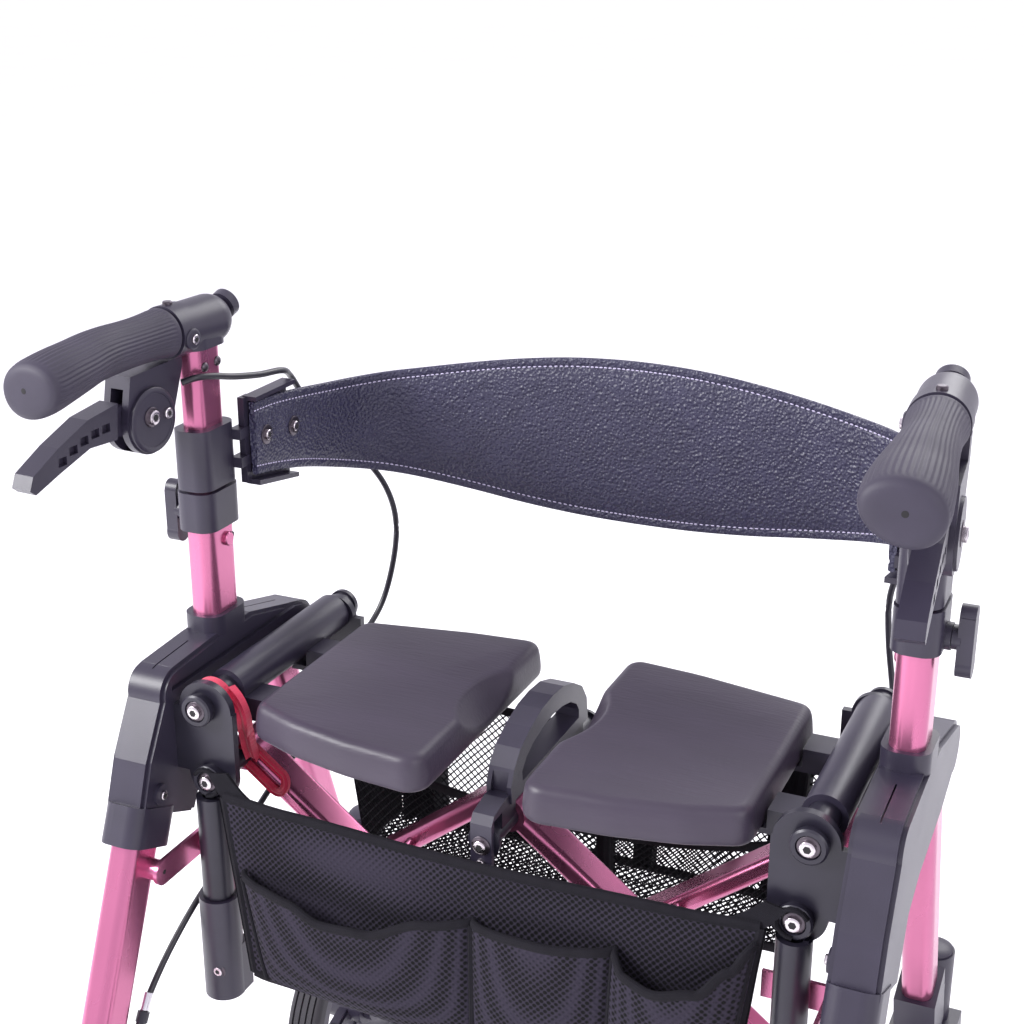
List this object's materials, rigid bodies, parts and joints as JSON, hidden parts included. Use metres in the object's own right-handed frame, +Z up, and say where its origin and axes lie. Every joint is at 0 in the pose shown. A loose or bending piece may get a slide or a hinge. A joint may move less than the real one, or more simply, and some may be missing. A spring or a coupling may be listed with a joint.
{
  "type": "rollator walker",
  "caption": "Folding rollator walker with a split padded seat, backrest strap, organiser pocket, loop brakes and swivel front wheels.",
  "frame": {"origin": "middle of the footprint, on the floor", "axes": "+X to the right hand of the person pushing, +Y the way it is pushed, +Z up"},
  "size_m": [0.604, 0.652, 0.8265],
  "materials": {
    "frame_pink": "satin",
    "black_plastic": "matte",
    "black_metal": "satin",
    "grip_rubber": "matte",
    "tyre": "matte",
    "rod_steel": "satin",
    "seat_foam": "satin",
    "mesh_cloth": "matte",
    "strap_leather": "matte",
    "red_webbing": "matte",
    "cable_black": "matte"
  },
  "bodies": {
    "centre": {"centre_tube": "black_metal", "lift_handle": "black_plastic", "organiser_bag": "mesh_cloth", "net_bag": "mesh_cloth"},
    "strap": {"backrest_strap": "strap_leather"},
    "brace_a": {"brace_a": "frame_pink"},
    "brace_b": {"brace_b": "frame_pink"},
    "brace_c": {"brace_c": "frame_pink"},
    "brace_d": {"brace_d": "frame_pink"},
    "side_left": {"housing_left": "black_plastic", "outer_post_left": "frame_pink", "rear_leg_left": "frame_pink", "front_leg_left": "frame_pink", "seat_rail_left": "black_metal", "bracket_left": "black_metal", "clamp_collar_left": "black_plastic", "leg_feet_left": "black_plastic", "brake_cable_left": "cable_black", "lock_strap": "red_webbing"},
    "rod_left": {"guide_rod_left": "rod_steel"},
    "slider_left": {"slider_left": "black_plastic"},
    "post_left": {"inner_post_left": "frame_pink", "handle_head_left": "black_plastic", "grip_left": "grip_rubber", "strap_holder_left": "black_plastic"},
    "lever_left": {"brake_lever_left": "black_plastic"},
    "knob_left": {"height_knob_left": "black_plastic"},
    "rear_wheel_left": {"rear_rim_left": "black_plastic", "rear_tyre_left": "tyre"},
    "brake_left": {"brake_arm_left": "black_plastic"},
    "caster_left": {"caster_fork_left": "black_plastic"},
    "front_wheel_left": {"front_rim_left": "black_plastic", "front_tyre_left": "tyre"},
    "seat_left": {"seat_pad_left": "seat_foam", "seat_base_left": "black_plastic"},
    "side_right": {"housing_right": "black_plastic", "outer_post_right": "frame_pink", "rear_leg_right": "frame_pink", "front_leg_right": "frame_pink", "seat_rail_right": "black_metal", "bracket_right": "black_metal", "clamp_collar_right": "black_plastic", "leg_feet_right": "black_plastic", "brake_cable_right": "cable_black"},
    "rod_right": {"guide_rod_right": "rod_steel"},
    "slider_right": {"slider_right": "black_plastic"},
    "post_right": {"inner_post_right": "frame_pink", "handle_head_right": "black_plastic", "grip_right": "grip_rubber", "strap_holder_right": "black_plastic"},
    "lever_right": {"brake_lever_right": "black_plastic"},
    "knob_right": {"height_knob_right": "black_plastic"},
    "rear_wheel_right": {"rear_rim_right": "black_plastic", "rear_tyre_right": "tyre"},
    "brake_right": {"brake_arm_right": "black_plastic"},
    "caster_right": {"caster_fork_right": "black_plastic"},
    "front_wheel_right": {"front_rim_right": "black_plastic", "front_tyre_right": "tyre"},
    "seat_right": {"seat_pad_right": "seat_foam", "seat_base_right": "black_plastic"}
  },
  "joints": [
    {"name": "fold", "type": "hinge", "parent": "centre", "child": "brace_b", "pos_m": [0, 0.074, 0.489], "axis": [0, -1, 0], "range_deg": [0, 37.5], "deforming": ["backrest_strap", "organiser_bag", "net_bag"]},
    {"name": "brace_cross_left", "type": "hinge", "parent": "brace_b", "child": "brace_a", "pos_m": [-0.1095, 0.044, 0.40498], "axis": [0, -1, 0], "range_deg": [-75, 0]},
    {"name": "side_hang_left", "type": "hinge", "parent": "brace_a", "child": "side_left", "pos_m": [-0.219, 0.013, 0.489], "axis": [0, -1, 0], "range_deg": [0, 37.5]},
    {"name": "brace_top_right", "type": "hinge", "parent": "centre", "child": "brace_c", "pos_m": [0, 0.013, 0.489], "axis": [0, -1, 0], "range_deg": [-37.5, 0]},
    {"name": "brace_cross_right", "type": "hinge", "parent": "brace_c", "child": "brace_d", "pos_m": [0.1095, 0.044, 0.40498], "axis": [0, -1, 0], "range_deg": [0, 75]},
    {"name": "side_hang_right", "type": "hinge", "parent": "brace_d", "child": "side_right", "pos_m": [0.219, 0.074, 0.489], "axis": [0, -1, 0], "range_deg": [-37.5, 0]},
    {"name": "slider_pin_left", "type": "hinge", "parent": "brace_b", "child": "slider_left", "pos_m": [-0.219, -0.031, 0.32095], "axis": [0, -1, 0], "range_deg": [-37.5, 0]},
    {"name": "slider_pin_right", "type": "hinge", "parent": "brace_c", "child": "slider_right", "pos_m": [0.219, -0.031, 0.32095], "axis": [0, -1, 0], "range_deg": [0, 37.5]},
    {"name": "guide_rod_left", "type": "slide", "parent": "side_left", "child": "rod_left", "axis": [0, 0, -1], "range_m": [0, 0.055]},
    {"name": "guide_rod_right", "type": "slide", "parent": "side_right", "child": "rod_right", "axis": [0, 0, -1], "range_m": [0, 0.055]},
    {"name": "seat_hinge_left", "type": "hinge", "parent": "side_left", "child": "seat_left", "pos_m": [-0.225, 0.044, 0.545], "axis": [0, -1, 0], "range_deg": [0, 83]},
    {"name": "seat_hinge_right", "type": "hinge", "parent": "side_right", "child": "seat_right", "pos_m": [0.225, 0.044, 0.545], "axis": [0, -1, 0], "range_deg": [-83, 0]},
    {"name": "handle_height", "type": "slide", "parent": "side_left", "child": "post_left", "axis": [0, 0, 1], "range_m": [0, 0.12], "deforming": ["brake_cable_left"]},
    {"name": "handle_height_right", "type": "slide", "parent": "side_right", "child": "post_right", "axis": [0, 0, 1], "range_m": [0, 0.12], "deforming": ["brake_cable_right"]},
    {"name": "strap_rise", "type": "slide", "parent": "centre", "child": "strap", "axis": [0, 0, 1], "range_m": [0, 0.12]},
    {"name": "brake_lever_left", "type": "hinge", "parent": "post_left", "child": "lever_left", "pos_m": [-0.28002, -0.01516, 0.75], "axis": [-0.9976, 0.0698, 0], "range_deg": [0, 16], "stiffness_Nm_per_rad": 0.8},
    {"name": "brake_arm_left", "type": "hinge", "parent": "side_left", "child": "brake_left", "pos_m": [-0.266, -0.15502, 0.17932], "axis": [-1, 0, 0], "range_deg": [0, 2.4]},
    {"name": "height_knob_left", "type": "hinge", "parent": "side_left", "child": "knob_left", "pos_m": [-0.286, 0.042, 0.661], "axis": [-1, 0, 0], "continuous": true},
    {"name": "rear_wheel_left", "type": "hinge", "parent": "side_left", "child": "rear_wheel_left", "pos_m": [-0.266, -0.226, 0.1], "axis": [1, 0, 0], "continuous": true},
    {"name": "caster_left", "type": "hinge", "parent": "side_left", "child": "caster_left", "pos_m": [-0.266, 0.264, 0.215], "axis": [0, 0, 1], "continuous": true},
    {"name": "front_wheel_left", "type": "hinge", "parent": "caster_left", "child": "front_wheel_left", "pos_m": [-0.266, 0.226, 0.1], "axis": [1, 0, 0], "continuous": true},
    {"name": "brake_lever_right", "type": "hinge", "parent": "post_right", "child": "lever_right", "pos_m": [0.28002, -0.01516, 0.75], "axis": [-0.9976, -0.0698, 0], "range_deg": [0, 16], "stiffness_Nm_per_rad": 0.8},
    {"name": "brake_arm_right", "type": "hinge", "parent": "side_right", "child": "brake_right", "pos_m": [0.266, -0.15502, 0.17932], "axis": [-1, 0, 0], "range_deg": [0, 2.4]},
    {"name": "height_knob_right", "type": "hinge", "parent": "side_right", "child": "knob_right", "pos_m": [0.286, 0.042, 0.661], "axis": [1, 0, 0], "continuous": true},
    {"name": "rear_wheel_right", "type": "hinge", "parent": "side_right", "child": "rear_wheel_right", "pos_m": [0.266, -0.226, 0.1], "axis": [1, 0, 0], "continuous": true},
    {"name": "caster_right", "type": "hinge", "parent": "side_right", "child": "caster_right", "pos_m": [0.266, 0.264, 0.215], "axis": [0, 0, 1], "continuous": true},
    {"name": "front_wheel_right", "type": "hinge", "parent": "caster_right", "child": "front_wheel_right", "pos_m": [0.266, 0.226, 0.1], "axis": [1, 0, 0], "continuous": true}
  ],
  "couplings": [
    {"joint": "brace_cross_left", "follows": "fold", "ratio": -2},
    {"joint": "side_hang_left", "follows": "fold", "ratio": 1},
    {"joint": "brace_top_right", "follows": "fold", "ratio": -1},
    {"joint": "brace_cross_right", "follows": "fold", "ratio": 2},
    {"joint": "side_hang_right", "follows": "fold", "ratio": -1},
    {"joint": "slider_pin_left", "follows": "fold", "ratio": -1},
    {"joint": "slider_pin_right", "follows": "fold", "ratio": 1},
    {"joint": "guide_rod_left", "follows": "fold", "m_per_rad": 0.0745},
    {"joint": "guide_rod_right", "follows": "fold", "m_per_rad": 0.0745},
    {"joint": "seat_hinge_left", "follows": "fold", "ratio": 2.2},
    {"joint": "seat_hinge_right", "follows": "fold", "ratio": -2.2},
    {"joint": "handle_height_right", "follows": "handle_height", "ratio": 1},
    {"joint": "strap_rise", "follows": "handle_height", "ratio": 1},
    {"joint": "brake_arm_left", "follows": "brake_lever_left", "ratio": 0.1375},
    {"joint": "brake_arm_right", "follows": "brake_lever_right", "ratio": 0.1375}
  ]
}
